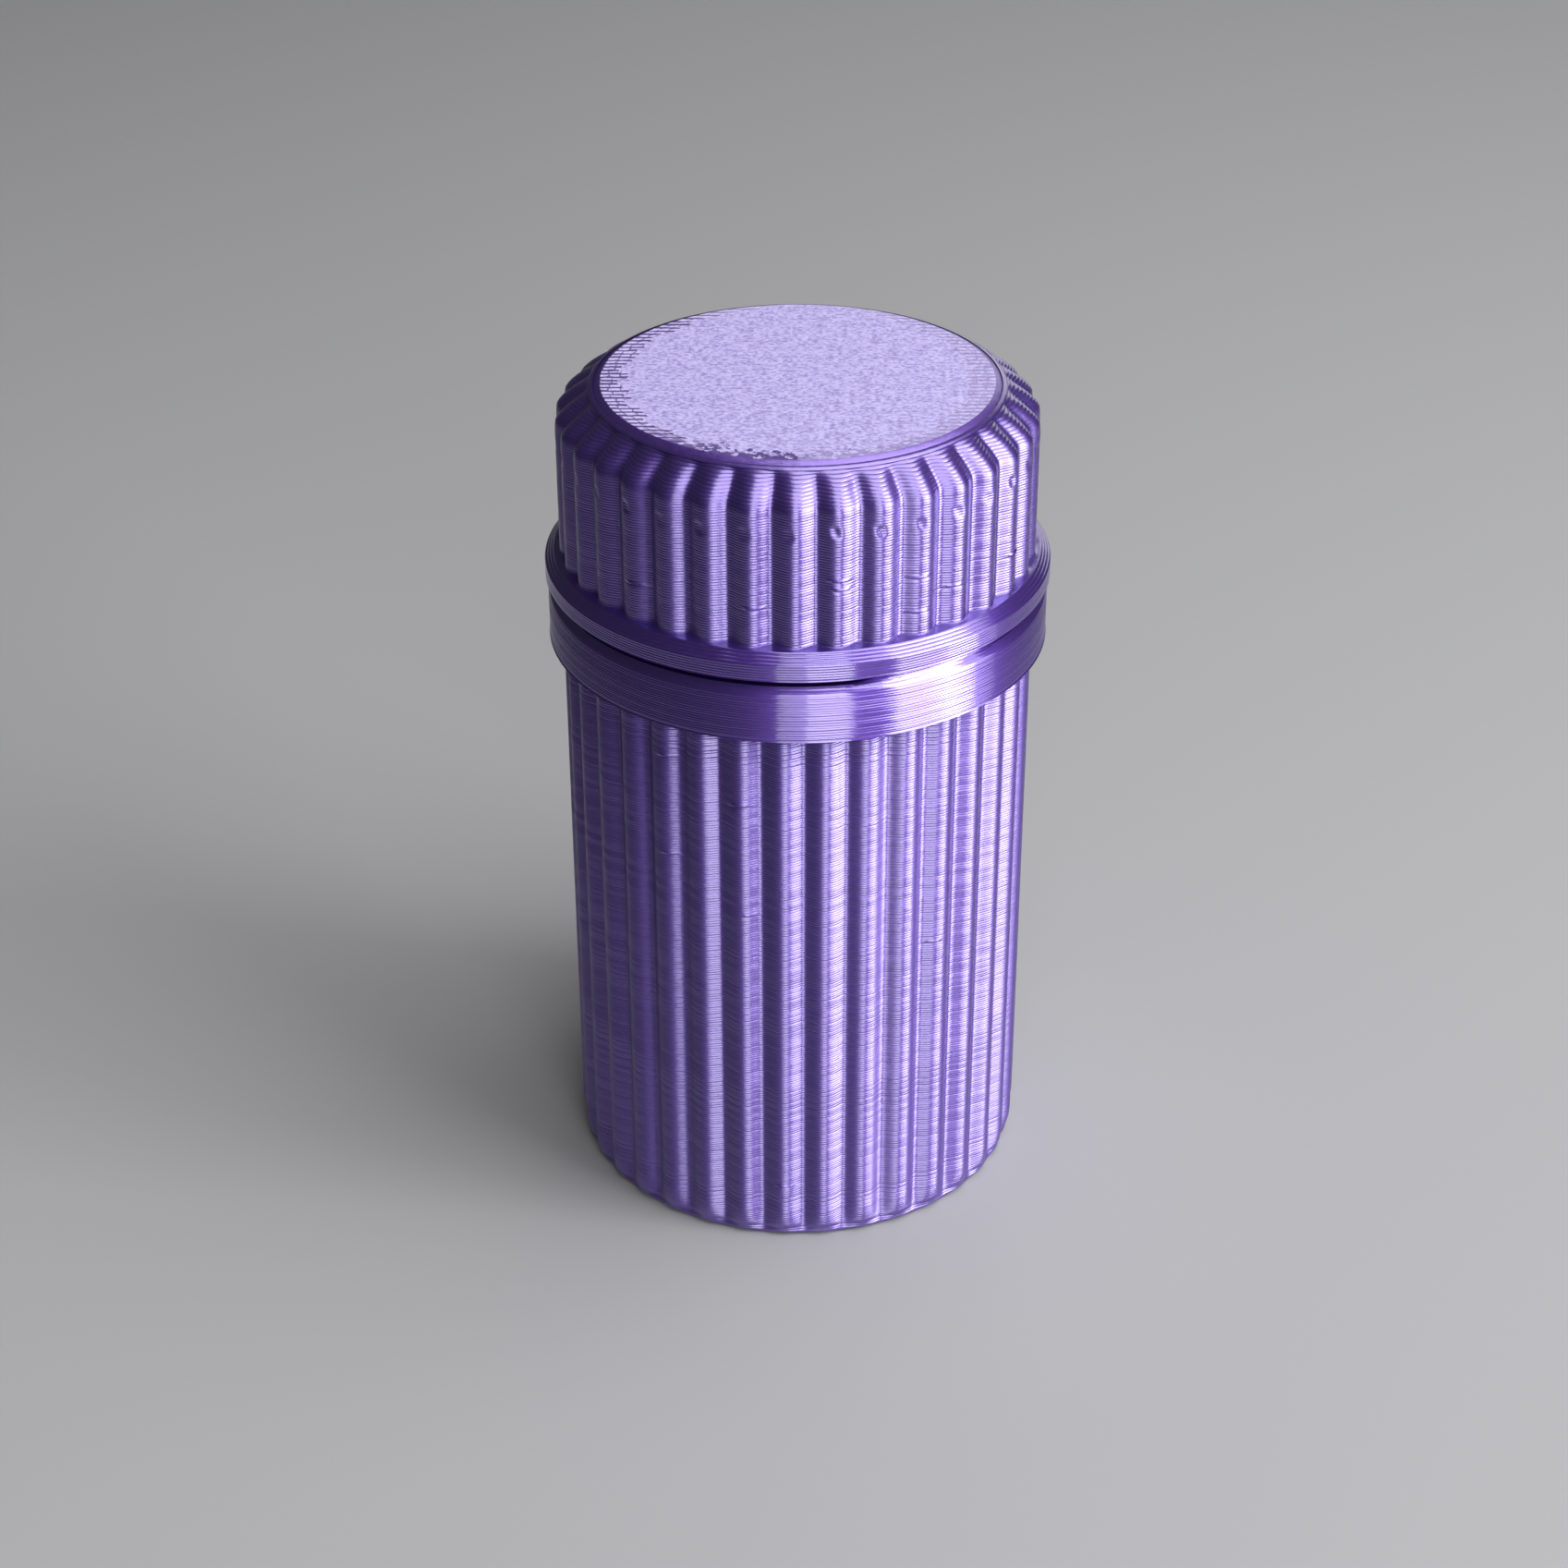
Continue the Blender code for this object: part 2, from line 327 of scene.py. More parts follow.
# Face printed on a textured bed: pale and finely speckled. Along its edge, where the lines of the
# infill turn round, rows of short level bricks stand between grooves, in two or three columns
# that follow the edge; each row has its own reach, and each brick its own width. Over their bump,
# the bricks' tops take a painted highlight and the grooves a painted shade. Pairs are the two
# ends of a range.
bed = {
    "pale": (0.600, 0.535, 0.900, 1),
    "speck": (0.305, 0.250, 0.570, 1),
    # Painted highlight for the bricks' tops, and painted shade for the grooves, which the flecks also take
    # as their own colour
    "brickTopHighlight": (0.680, 0.610, 0.960, 1),
    "grooveShadeAndFleck": (0.050, 0.012, 0.170, 1),
    "metallic": 0.1,
    "roughness": 0.5,
    "relief": 0.035 * mm,
    "stretch": 0.8,
    "speckSize": 0.30 * mm,
    "speckRoughness": 0.6,
    "speckRange": (0.34, 0.60),
    "patchSize": 1.1 * mm,
    "patchShare": 0.30,
    "fineDetail": 2.0,
    "coarseDetail": 1.0,
    # Rows and bricks
    "rowPitch": 0.64 * mm,
    "sideShift": 0.37,
    "brick": 0.85 * mm,
    "brickShift": 0.4,
    "reach": 2.1 * mm,
    "reachSpread": 0.4,
    "rag": 0.22 * mm,
    # Share of the painted light and shade kept on the right-hand bricks and flecks, as the light falls from
    # the right
    "paintedRightShare": 0.45,
    "raisedShare": 0.6,
    # Grooves between rows, and breaks between the bricks of a row
    "groove": 0.46,
    "grooveSpread": 0.5,
    "grooveDark": 0.9,
    "breakWidth": 0.14,
    "breakDepth": 0.8,
    "calmSpan": (11.5 * mm, 14.2 * mm),
    "calmShare": 0.35,
    # Flecks on the rim
    "fleckSize": 0.45 * mm,
    "fleckReach": 1.4 * mm,
    "fleckAtEdge": 0.41,
    "fleckInwards": 0.19,
    "fleckSpan": (-8 * mm, -12.5 * mm),
}


def bedFace(name, look, edge):
    material, tree, shader = newMaterial(name)
    place = put(tree, "TexCoord", {}).outputs["Object"]
    axes = put(tree, "SeparateXYZ", {0: place}).outputs
    x, y = axes["X"], axes["Y"]
    stretched = put(tree, "Mapping", {"Vector": place, "Scale": (look["stretch"], 1.0, 1.0)}).outputs[0]
    speck = noise(tree, stretched, look["speckSize"], look["fineDetail"], look["speckRoughness"])["Fac"]
    patch = noise(tree, place, look["patchSize"], look["coarseDetail"])["Fac"]
    tone = calc(tree, "MULTIPLY_ADD", calc(tree, "SUBTRACT", patch, 0.5), look["patchShare"], speck)
    colour = blend(tree, ramp(tree, tone, *look["speckRange"]), look["speck"], look["pale"])
    # Ragged copies of the distance in from the edge along X, and of the row's own coordinate
    ragged = noise(tree, place, 2 * look["rag"], look["coarseDetail"])["Color"]
    ragged = put(tree, "SeparateXYZ", {0: ragged}).outputs
    ragX, ragY = (calc(tree, "SUBTRACT", ragged[axis], 0.5) for axis in "XY")
    acrossSquared, alongSquared = (calc(tree, "MULTIPLY", axis, axis) for axis in (x, y))
    chordSquared = calc(tree, "MAXIMUM", 0.0, calc(tree, "SUBTRACT", edge ** 2, alongSquared))
    halfChord = calc(tree, "SQRT", chordSquared)
    inward = calc(tree, "SUBTRACT", halfChord, calc(tree, "ABSOLUTE", x))
    inward = calc(tree, "MULTIPLY_ADD", ragX, 2 * look["rag"], inward)
    row = calc(tree, "DIVIDE", calc(tree, "MULTIPLY_ADD", ragY, look["rag"], y), look["rowPitch"])
    # Rows, which differ between the two sides, and the bricks of each
    side = calc(tree, "SIGN", x)
    rowIndex = calc(tree, "FLOOR", row)
    rowChance = ownChance(tree, calc(tree, "MULTIPLY_ADD", side, look["sideShift"], rowIndex))
    brick = calc(tree, "DIVIDE", inward, look["brick"])
    brick = calc(tree, "MULTIPLY_ADD", rowChance, look["brickShift"], brick)
    brickPlace = {"X": calc(tree, "FLOOR", brick), "Y": rowIndex, "Z": side}
    brickPlace = put(tree, "CombineXYZ", brickPlace).outputs[0]
    brickChance = put(tree, "TexWhiteNoise", {"Vector": brickPlace}, noise_dimensions="3D").outputs["Value"]
    spread = look["groove"] * look["grooveSpread"]
    grooveWidth = calc(tree, "MULTIPLY_ADD", brickChance, spread, look["groove"] - spread / 2)
    level = calc(tree, "LESS_THAN", calc(tree, "FRACT", row), grooveWidth)
    upright = calc(tree, "LESS_THAN", calc(tree, "FRACT", brick), look["breakWidth"])
    reach = calc(tree, "MULTIPLY_ADD", rowChance, look["reachSpread"], 1 - look["reachSpread"])
    zone = calc(tree, "LESS_THAN", inward, calc(tree, "MULTIPLY", reach, look["reach"]))
    # Right-hand bricks and flecks are fainter, a painted light and shade that follows the light falling
    # from the right, and the bricks at the front and back are fainter too, where rows run along the edge
    right = look["paintedRightShare"]
    paintedSideShare = calc(tree, "MULTIPLY_ADD", side, (right - 1) / 2, (right + 1) / 2)
    calm = ramp(tree, calc(tree, "ABSOLUTE", y), *look["calmSpan"], 1.0, look["calmShare"])
    groove = calc(tree, "MAXIMUM", level, calc(tree, "MULTIPLY", upright, look["breakDepth"]))
    for share in (zone, calm, paintedSideShare):
        groove = calc(tree, "MULTIPLY", groove, share)
    # Ragged flecks on the rim at the front: a noise over a threshold that rises inwards
    radius = calc(tree, "SQRT", calc(tree, "ADD", acrossSquared, alongSquared))
    inside = calc(tree, "DIVIDE", calc(tree, "SUBTRACT", edge, radius), look["fleckReach"])
    flecks = noise(tree, stretched, look["fleckSize"], look["fineDetail"])["Fac"]
    threshold = calc(tree, "MULTIPLY_ADD", inside, look["fleckInwards"], look["fleckAtEdge"])
    fleck = calc(tree, "GREATER_THAN", flecks, threshold)
    for share in (ramp(tree, y, *look["fleckSpan"]), paintedSideShare):
        fleck = calc(tree, "MULTIPLY", fleck, share)
    groove = calc(tree, "MAXIMUM", groove, fleck)
    # Painted light and shade on the bricks: a paler top and a darker groove, more so on the left; the
    # flecks take the groove's colour as their own
    paintedTopHighlight = calc(tree, "MULTIPLY", calc(tree, "MULTIPLY", zone, paintedSideShare), look["raisedShare"])
    colour = blend(tree, paintedTopHighlight, colour, look["brickTopHighlight"])
    colour = blend(tree, calc(tree, "MULTIPLY", groove, look["grooveDark"]), colour, look["grooveShadeAndFleck"])
    relief = {"Height": calc(tree, "SUBTRACT", speck, groove), "Distance": look["relief"], "Strength": 1.0}
    feed(tree, shader, {
        "Base Color": colour,
        "Normal": put(tree, "Bump", relief).outputs[0],
        "Metallic": look["metallic"],
        "Roughness": look["roughness"],
    })
    return material


# The two parts were printed the opposite way up, so their beads lean by different amounts. The cup's
# ribs are a little softer than the lid's. On the plain rings the nozzle ran smoothly, so their beads
# are smoother than those of the ribs. The bevel round the disc is rougher.
cupLean, lidLean = 1.25, 0.85
footFlat, discFlat = 17.0 * mm, 14.57 * mm      # radii of the two faces that lay on the bed
softSilk = {**silk, "roughness": 0.45, "coatRoughness": 0.26}
plainRing = {**silk, "roughness": 0.33, "coatRoughness": 0.09, "wanderTilt": 0.035}
workedEdge = {
    **silk, "deep": (0.105, 0.032, 0.370, 1), "light": (0.160, 0.062, 0.480, 1),
    "roughness": 0.45, "coatRoughness": 0.32, "coatIor": 1.95, "grainTilt": 0.35,
}
cupSide = silkPlastic("silk_violet_cup", softSilk, cupLean)
lidSide = silkPlastic("silk_violet_lid", silk, lidLean)
cupRing = silkPlastic("silk_violet_collar", plainRing, cupLean)
lidRing = silkPlastic("silk_violet_band", plainRing, lidLean)
lidEdge = silkPlastic("silk_violet_edge", workedEdge, lidLean)
lidTop = bedFace("speckled_lid_top", bed, discFlat)
cupFoot = bedFace("speckled_cup_foot", bed, footFlat)
print("materials made")

# What the two printed parts share: their ribs, the grid that their rows keep to, the rounding at the
# mouth of each hole, and the size of the print scars, whose dip is a share of their rise
printed = {
    "ribs": 35,
    "ribDepth": 0.63 * mm,
    "rowGrid": 0.05 * mm,
    "mouth": 0.3 * mm,
    "scarSpread": 0.09 * mm,
    "scarRise": 0.13 * mm,
    "scarDipShare": 0.6,
    "scarReach": 3,
}

# Cup, from the foot up to the collar, the neck and the well inside it. Scars are given by azimuth
# from the camera's side, height, and half width in degrees. Pairs of shares give a point's way out
# or in and its way up.
cup = {
    **printed,
    "steps": 16,
    "valley": towardsCamera + radians(1.57),
    "tip": 17.96 * mm,
    "foot": footFlat,
    "footHeight": 2.6 * mm,
    "footRows": 16,
    "footBead": 0.09 * mm,
    "footBeadHeight": 0.42 * mm,
    "footBeadSpread": 0.9 * layer,
    "bottomShares": (0.02, 0.5, 0.97),
    "height": 45.8 * mm,
    "rowPitch": 0.6 * mm,
    "drift": 0.006 * mm,
    "driftLengths": (2.3 * mm, 5.7 * mm, 19 * mm),
    "scars": [
        (-32.3, 42.6 * mm, 2.2), (-31.6, 34.2 * mm, 2.4), (-29.7, 38.4 * mm, 0.5), (-13.8, 39.7 * mm, 2.6),
        (-10.7, 30.2 * mm, 2.2), (35.1, 26.0 * mm, 2.0), (-3.2, 5.2 * mm, 2.2),
    ],
    # Collar, its lip as shares of the lip's reach and of a layer, and its chamfer's width and height
    "collarTop": 50.2 * mm,
    "collarRoot": 0.2 * mm,
    "collarLip": 0.05 * mm,
    "lipShares": ((-1, 0), (1, 0.4), (0.6, 0.9), (-0.4, 1.2), (0, 1.6), (0, 2)),
    "collarChamfer": (0.43 * mm, 0.6 * mm),
    "chamferRows": 4,
    "support": 0.12 * mm,
    # Wall in the seam, its width and height, and its middle and reach in degrees of azimuth
    "seamWall": (0.12 * mm, 0.48 * mm),
    "seamShares": ((0.25, 0.1), (1, 0.9), (1.6, 1)),
    "seamSpan": (32.0, 16.0),
    "shelf": 0.6 * mm,
    "neck": 14.5 * mm,
    "neckFillet": 0.15 * mm,
    "well": 13.22 * mm,
    "floor": 2.0 * mm,
}


# The ribbed wall stands on a foot whose tips follow a quarter ellipse out from the flat ring, with
# ribs no deeper than the valleys and one proud bead near the floor. Collar, neck and well are a
# profile of (radius, height) pairs turned round the axis.
def makeCup(part, dice):
    turn = np.linspace(0, pi / 2, part["footRows"])
    footTip = part["foot"] + (part["tip"] - part["foot"]) * np.sin(turn)
    footHeights = part["footHeight"] * (1 - np.cos(turn))
    footDepth = np.maximum(footTip - (part["tip"] - part["ribDepth"]), 0)
    bead = (footHeights - part["footBeadHeight"]) / part["footBeadSpread"]
    footTip += part["footBead"] * np.exp(-bead ** 2)
    even = np.arange(part["footHeight"], part["height"], part["rowPitch"])[1:]
    wallHeights = np.append(rowsOnGrid([even] + scarRows(part), part["rowGrid"]), part["height"])
    heights = np.concatenate([footHeights, wallHeights])
    tip = np.concatenate([footTip, np.full(len(wallHeights), part["tip"])])
    depth = np.concatenate([footDepth, np.full(len(wallHeights), part["ribDepth"])])
    calm = np.minimum(heights / part["footHeight"], 1)
    wall = ribbedWall(part, heights, tip, depth, calm, dice)
    columns, valley = part["ribs"] * part["steps"], part["valley"]
    collar, top, rim = cupHigh.x, part["collarTop"], cupHigh.z
    chamferIn, chamferDown = part["collarChamfer"]
    lip = [(collar + part["collarLip"] * out, part["height"] + layer * up) for out, up in part["lipShares"]]
    chamfer = [
        (collar - chamferIn * share, top - chamferDown * (1 - share))
        for share in np.linspace(0, 1, part["chamferRows"])
    ]
    collarRows = roundRows(
        [(part["tip"] + part["collarRoot"], part["height"])] + lip
        + [(collar, top - chamferDown - part["support"])] + chamfer,
        columns // 2, valley,
    )
    # Steep wall in the seam, a little back from the chamfer: it nearly meets the lid over one
    # stretch to the right of the camera, and falls away to the collar's flat top outside it
    seamIn, seamUp = part["seamWall"]
    seamTop = top + seamUp
    seam = [(collar - chamferIn - seamIn * back, top + seamUp * up) for back, up in part["seamShares"]]
    neck, well, mouth, floor = part["neck"], part["well"], part["mouth"], part["floor"]
    fillet = part["neckFillet"]
    seam += [(part["tip"] - part["shelf"], seamTop), (neck + fillet, seamTop)]
    neckRows = roundRows(seam + [
        (neck, seamTop + fillet), (neck, rim - mouth), (neck - mouth, rim), (well + mouth, rim),
        (well, rim - mouth), (well, floor + mouth), (well - mouth, floor), (well / 2, floor),
        (mouth, floor),
    ], columns // 4, valley)
    inSeam = neckRows[:len(seam)]
    middle, reach = part["seamSpan"]
    azimuth = np.degrees(np.arctan2(inSeam[..., 0], -inSeam[..., 1]))
    inSeam[..., 2] = top + (inSeam[..., 2] - top) * np.exp(-((azimuth - middle) / reach) ** 4)
    bottom = [(part["foot"] * share, cupLow.z) for share in part["bottomShares"]]
    bottomRows = roundRows(bottom, columns // 4, valley)
    blocks = [(bottomRows, 1), (wall, 0), (collarRows, 2), (neckRows, 2)]
    return closedSkin("cup_shell", blocks, [cupSide, cupFoot, cupRing], cupLow.z, floor)


cupShell = makeCup(cup, np.random.default_rng(34))
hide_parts("container_body")
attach(cupShell, "container")
print("cup made:", len(cupShell.data.polygons), "faces")

# Lid, from the ceiling over the neck, down the bore, round the rim and up to the flat top
lid = {
    **printed,
    "steps": 20,
    "valley": towardsCamera + radians(-6.0),
    "tip": 18.02 * mm,
    "rowPitch": 0.35 * mm,
    "drift": 0.010 * mm,
    "driftLengths": (1.3 * mm, 3.1 * mm, 9 * mm),
    "scars": [
        (-39.4, 56.0 * mm, 3.0), (-9.5, 56.0 * mm, 2.6), (9.5, 58.2 * mm, 2.6), (10.0, 57.5 * mm, 2.4),
        (28.0, 57.5 * mm, 4.0), (28.0, 54.8 * mm, 4.0), (37.5, 56.0 * mm, 3.4), (62.0, 56.0 * mm, 3.4),
    ],
    # One small dent near the head of each rib, left of its middle; its width is in degrees
    "dent": {
        "across": 0.40,
        "acrossSpread": 0.04,
        "height": 61.75 * mm,
        "riseSpread": 0.4,
        "wide": 1.0,
        "tall": 0.45 * mm,
        "slant": 0.35,
        "depth": 0.15 * mm,
        "depthShares": (0.6, 1.1),
        "reach": 1.6,
        "rows": 10,
    },
    "bore": 15.92 * mm,
    "ceiling": 2.0 * mm,
    # Band and the ledge over it, and how the ledge turns into ribs
    "bandHeight": 1.3 * mm,
    "bandEdge": 0.10 * mm,
    "bandSupport": 0.06 * mm,
    "bandEase": 0.01 * mm,
    "ledgeSteps": 4,
    "ledge": 18.32 * mm,
    "ledgeShare": 0.8,
    "mergeEase": 0.05 * mm,
    "mergeDepthShares": (0, 0.75, 1),
    "mergeLayerShares": (0, 0.15, 0.4),
    # Crown, measured down from the top, its layer steps, bevel and disc
    "crease": 2.4 * mm,
    "creaseSoftness": 0.10,
    "wallStop": 3.5 * layer,
    "crownHeight": 2.05 * mm,
    "crownFall": 2.72 * mm,
    "crownSteps": 14,
    "straightShare": 0.61,
    "ribFade": 5.0,
    "beadRows": 4,
    "stepShare": 0.65,
    "bevelEase": 0.02 * mm,
    "disc": discFlat,
    "discEase": 0.015 * mm,
    "discShares": (0.997, 0.8, 0.6, 0.4, 0.2, 0.02),
}


# One rounded layer step, as ways out and up that run from 0.5 to -0.5 of the step's width and from
# nothing to one layer: share of it is a quarter ellipse, and the rest is the straight slope
def roundedStep(rows, share):
    bead = np.linspace(0, pi / 2, rows)
    along = bead / (pi / 2)
    return 0.5 - along + share * (np.cos(bead) - 1 + along), along + share * (np.sin(bead) - along)


# The ribbed wall goes on up the crown, as one rounded step for each layer, whose outline is taken
# at the layer's own height. With r the share of the crown's height and s the straight share, the
# tips fall inwards by crownFall * (s r + (1 - s) r^2), and the ribs' depth fades as 1 - r^ribFade.
# The crown's start is softened: r becomes c * ln(1 + exp(r / c)), with c the crease's softness.
# Bore, band, bevel and disc are turned profiles.
def makeLid(part, dice):
    rim, top = lidLow.z, lidHigh.z
    shoulder = rim + part["bandHeight"]
    ledgeTop = shoulder + layer * part["ledgeSteps"]
    crease = top - part["crease"]
    crownTop = crease + part["crownHeight"]
    # Wall: the ledge turns into ribs within half a layer
    ease, dent = part["mergeEase"], part["dent"]
    mergeTip = np.array([part["ledge"] - ease, part["tip"] + ease, part["tip"]])
    mergeDepth = part["ribDepth"] * np.array(part["mergeDepthShares"])
    mergeHeights = ledgeTop + layer * np.array(part["mergeLayerShares"])
    even = np.arange(mergeHeights[-1], crease - part["wallStop"], part["rowPitch"])[1:]
    dentRows = dent["height"] + dent["tall"] * np.linspace(-dent["reach"], dent["reach"], dent["rows"])
    wallHeights = rowsOnGrid([even] + scarRows(part) + [dentRows], part["rowGrid"])
    # Crown
    stepHeights = top - layer * np.arange(part["crownSteps"] + 1, 1, -1)
    rise = (stepHeights + layer / 2 - crease) / part["crownHeight"]
    rise = np.minimum(part["creaseSoftness"] * np.log1p(np.exp(rise / part["creaseSoftness"])), 1)
    stepOut, stepUp = roundedStep(part["beadRows"], part["stepShare"])
    crownHeights = (stepHeights[:, None] + layer * stepUp).ravel()
    crownRise = np.repeat(rise, part["beadRows"])
    straight = part["straightShare"]
    fallShare = straight * crownRise + (1 - straight) * crownRise ** 2
    slope = straight + 2 * (1 - straight) * crownRise
    stepWidth = part["crownFall"] * slope * layer / part["crownHeight"]
    stepWidth = stepWidth * np.minimum(crownRise / part["creaseSoftness"], 1)
    crownTip = part["tip"] - part["crownFall"] * fallShare + stepWidth * np.tile(stepOut, len(rise))
    crownDepth = part["ribDepth"] * (1 - crownRise ** part["ribFade"])
    heights = np.concatenate([mergeHeights, wallHeights, crownHeights])
    tip = np.concatenate([mergeTip, np.full(len(wallHeights), part["tip"]), crownTip])
    depth = np.concatenate([mergeDepth, np.full(len(wallHeights), part["ribDepth"]), crownDepth])
    wall = ribbedWall(part, heights, tip, depth, depth / part["ribDepth"], dice)
    columns, valley = part["ribs"] * part["steps"], part["valley"]
    bore, mouth, ceiling = part["bore"], part["mouth"], top - part["ceiling"]
    boreRows = roundRows([
        (mouth, ceiling), (bore / 2, ceiling), (bore - mouth, ceiling), (bore, ceiling - mouth),
        (bore, rim + mouth), (bore + mouth, rim),
    ], columns // 4, valley)
    band, edge = lidHigh.x, part["bandEdge"]
    ledgeWidth = (band - part["ledge"]) / part["ledgeSteps"]
    ledgeOut, ledgeUp = roundedStep(part["beadRows"], part["ledgeShare"])
    ledgeSteps = [
        (band - ledgeWidth * (n + 0.5) + ledgeWidth * out, shoulder + layer * (n + up))
        for n in range(part["ledgeSteps"]) for out, up in zip(ledgeOut, ledgeUp)
    ]
    bandRows = roundRows([
        (band - edge, rim), (band, rim + edge), (band, rim + edge + part["bandSupport"]),
        (band, shoulder - edge), (band, shoulder - part["bandEase"]),
    ] + ledgeSteps, columns // 2, valley)
    disc, discEase, bevelEase = part["disc"], part["discEase"], part["bevelEase"]
    bevelFoot = part["tip"] - part["crownFall"]
    bevel = roundRows([
        (bevelFoot - bevelEase, crownTop - 2 * bevelEase), (bevelFoot - 2 * bevelEase, crownTop),
        (disc + 2 * discEase, top - discEase), (disc, top),
    ], columns // 2, valley)
    discRows = roundRows([(disc * share, top) for share in part["discShares"]], columns // 4, valley)
    blocks = [(boreRows, 3), (bandRows, 3), (wall, 0), (bevel, 2), (discRows, 1)]
    return closedSkin("lid_shell", blocks, [lidSide, lidTop, lidEdge, lidRing], ceiling, top)


lidShell = makeLid(lid, np.random.default_rng(33))
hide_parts("screw_lid")
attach(lidShell, "lid")
print("lid made:", len(lidShell.data.polygons), "faces")

# Thread: one start, right-handed, on the neck and in the lid's bore
thread = {
    "lead": 3.0 * mm,
    "crest": 0.5 * mm,
    "sink": 0.1 * mm,
    "fade": 1 / 6,
    "startShare": 0.05,
    "stepsPerTurn": 96,
    "male": {"root": 14.5 * mm, "crestRadius": 15.5 * mm, "bottom": 51.9 * mm, "top": 60.4 * mm},
    "female": {"root": 15.92 * mm, "crestRadius": 14.9 * mm, "bottom": 53.4 * mm, "top": 61.6 * mm},
}


# A trapezium is carried along a helix, z = bottom + lead * turn, and its depth grows from next to
# nothing over the first part of a turn and dies away over the last
def makeThread(name, part, side, finish):
    turns = (side["top"] - side["bottom"]) / part["lead"]
    turn = np.linspace(0, turns, int(turns * part["stepsPerTurn"]) + 1)
    grow = np.clip(np.minimum(turn, turns - turn) / part["fade"], part["startShare"], 1)
    out = np.sign(side["crestRadius"] - side["root"])
    depth = abs(side["crestRadius"] - side["root"]) * grow
    root = np.full(len(turn), side["root"] - out * part["sink"])
    crest = side["root"] + out * depth
    radius = np.stack([root, crest, crest, root], -1)
    halfCrest = part["crest"] / 2 * grow
    halfRoot = halfCrest + depth + part["sink"]
    offset = np.stack([-halfRoot, -halfCrest, halfCrest, halfRoot], -1)
    angle = towardsCamera + 2 * pi * turn[:, None]
    rows = ringRows(radius, angle, side["bottom"] + part["lead"] * turn[:, None] + offset)
    i = np.arange(len(turn) - 1)[:, None] * 4
    j = np.arange(4)[None, :]
    k = (j + 1) % 4
    last = i[-1, 0] + 4
    quads = np.stack([i + j, i + k, i + 4 + k, i + 4 + j], -1).reshape(-1, 4)
    caps = np.array([[3, 2, 1, 0], [last, last + 1, last + 2, last + 3]])
    quads = np.concatenate([quads, caps])
    if out > 0:
        quads = quads[:, ::-1]
    return meshFrom(name, rows.reshape(-1, 3), quads, np.zeros((0, 3), int), [finish])


for name, key, body, slot, finish in (
    ("neck_thread", "male", "container", "container_plastic", cupSide),
    ("lid_thread", "female", "lid", "lid_plastic", lidSide),
):
    ridge = makeThread(name, thread, thread[key], finish)
    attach(ridge, body)
print("threads made")

# The stop ring's own solid has the right shape and only takes the print's finish
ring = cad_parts["lid_stop_ring"]
ring.data.materials.clear()
ring.data.materials.append(lidSide)

# Camera as fitted to the rims and the silhouette: distance in front of the axis, height over the
# floor, its turns in radians, and its focal length in pixels of a square frame
shot = {
    "distance": 211.39 * mm,
    "height": 155.16 * mm,
    "pitch": 0.5298,
    "yaw": -0.0051,
    "roll": -0.0024,
    "focal": 3343.9,
    "frame": 1697,
    "sensor": 36,
    "clip": (0.01, 20),
}


def placeCamera(part):
    camera = bpy.data.objects.new("camera", bpy.data.cameras.new("camera"))
    bpy.context.scene.collection.objects.link(camera)
    camera.data.sensor_width = part["sensor"]
    camera.data.lens = part["focal"] / part["frame"] * part["sensor"]
    camera.data.clip_start, camera.data.clip_end = part["clip"]
    pitch, yaw, roll = part["pitch"], part["yaw"], part["roll"]
    ahead = Vector((sin(yaw) * cos(pitch), cos(yaw) * cos(pitch), -sin(pitch)))
    right = Vector((cos(yaw), -sin(yaw), 0))
    up = right.cross(ahead)
    right, up = cos(roll) * right + sin(roll) * up, cos(roll) * up - sin(roll) * right
    turn = Matrix((right, up, -ahead)).transposed().to_4x4()
    camera.matrix_world = Matrix.Translation((0, -part["distance"], part["height"])) @ turn
    bpy.context.scene.camera = camera


# Upright soft boxes to the right of the camera, as a window in two panes with pale jambs would
# stand, with a dark gap between them, a low, weak one behind, and one overhead. Each spans azimuths
# from the camera's side towards +X and elevations from level, in degrees, seen from the aim on the
# axis; the overhead box is turned to lie along X.
lights = {
    "aim": 0.035,
    "world": 0.04,
    "panes": {
        "near_pane_edge": {"span": (-9, 4), "rise": (1, 45), "distance": 0.55, "radiance": 1.7},
        "near_pane": {"span": (4, 24), "rise": (1, 45), "distance": 0.55, "radiance": 3.8},
        "middle_pane": {"span": (43, 66), "rise": (1, 45), "distance": 0.55, "radiance": 4.6},
        "far_pane": {"span": (66, 82), "rise": (1, 45), "distance": 0.55, "radiance": 8.5},
        "far_pane_edge": {"span": (82, 93), "rise": (1, 45), "distance": 0.55, "radiance": 1.6},
        "back_fill": {"span": (150, 178), "rise": (2, 28), "distance": 0.8, "radiance": 1.1},
    },
    "overhead": {"span": (46, 98), "rise": (40, 96), "distance": 0.6, "radiance": 2.8, "turn": -70},
}


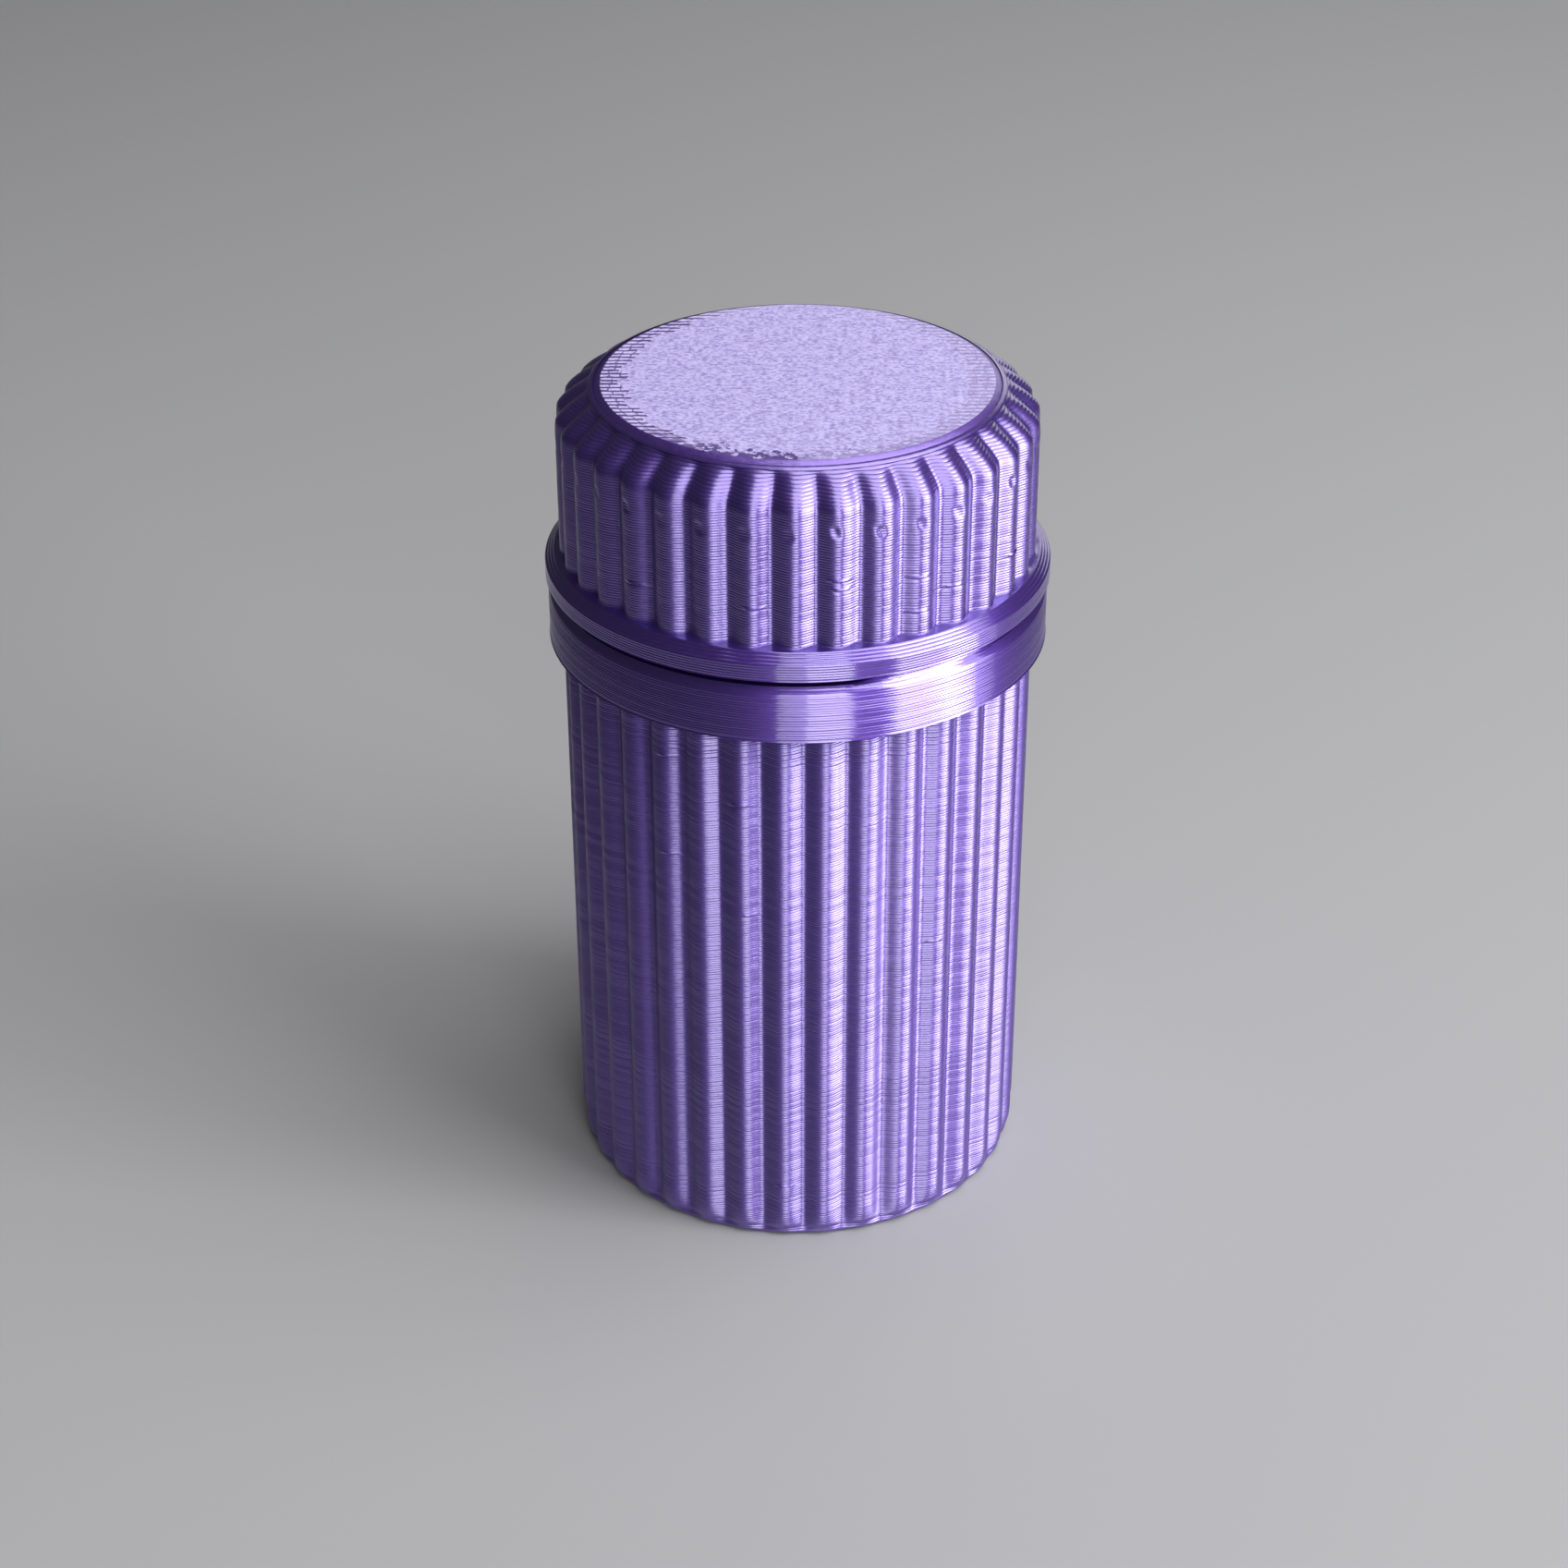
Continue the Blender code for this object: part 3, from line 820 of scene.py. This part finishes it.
# A soft box that faces the holder, whose energy follows from its radiance and its size
def softBox(name, wide, tall, back, place, radiance, turn):
    lamp = bpy.data.lights.new(name, "AREA")
    lamp.shape = "RECTANGLE"
    lamp.size = wide
    lamp.size_y = tall
    lamp.energy = radiance * pi * wide * tall
    box = bpy.data.objects.new(name, lamp)
    bpy.context.scene.collection.objects.link(box)
    box.location = place
    box.rotation_mode = "QUATERNION"
    box.rotation_quaternion = back.to_track_quat("Z", "Y") @ Quaternion((0, 0, 1), radians(turn))
    box.visible_camera = False


def placePane(name, pane, aim):
    start, end = pane["span"]
    azimuth = radians((start + end) / 2)
    wide = 2 * pane["distance"] * tan(radians(end - start) / 2)
    low, high = (pane["distance"] * tan(radians(angle)) for angle in pane["rise"])
    back = Vector((sin(azimuth), -cos(azimuth), 0))
    place = Vector((0, 0, aim + (low + high) / 2)) + back * pane["distance"]
    softBox(name, wide, high - low, back, place, pane["radiance"], 0)


def placeOverhead(name, pane, aim):
    (start, end), (low, high) = pane["span"], pane["rise"]
    azimuth, elevation = radians((start + end) / 2), radians((low + high) / 2)
    wide, tall = (2 * pane["distance"] * tan(radians(angle) / 2) for angle in (end - start, high - low))
    back = Vector((sin(azimuth) * cos(elevation), -cos(azimuth) * cos(elevation), sin(elevation)))
    place = Vector((0, 0, aim)) + back * pane["distance"]
    softBox(name, wide, tall, back, place, pane["radiance"], pane["turn"])


def placeWorld(strength):
    world = bpy.data.worlds.new("room")
    bpy.context.scene.world = world
    world.use_nodes = True
    background = world.node_tree.nodes["Background"]
    feed(world.node_tree, background, {"Color": (1, 1, 1, 1), "Strength": strength})


ground = {
    "reach": 6,
    "drop": 0.02 * mm,
    "colour": (0.38, 0.38, 0.39, 1),
    "roughness": 0.9,
    "shine": 0.1,
}


def placeFloor(part):
    material, tree, shader = newMaterial("pale_floor")
    feed(tree, shader, {
        "Base Color": part["colour"],
        "Roughness": part["roughness"],
        "Specular IOR Level": part["shine"],
    })
    corners = np.array([(-1, -1), (1, -1), (1, 1), (-1, 1)]) * part["reach"]
    points = np.column_stack([corners, np.full(4, -part["drop"])])
    floor = meshFrom("floor", points, np.array([[0, 1, 2, 3]]), np.zeros((0, 3), int), [material])


placeCamera(shot)
for name, pane in lights["panes"].items():
    placePane(name, pane, lights["aim"])
placeOverhead("overhead", lights["overhead"], lights["aim"])
placeWorld(lights["world"])
placeFloor(ground)
bpy.context.scene.view_settings.view_transform = "Standard"
print("camera, lights and floor placed")
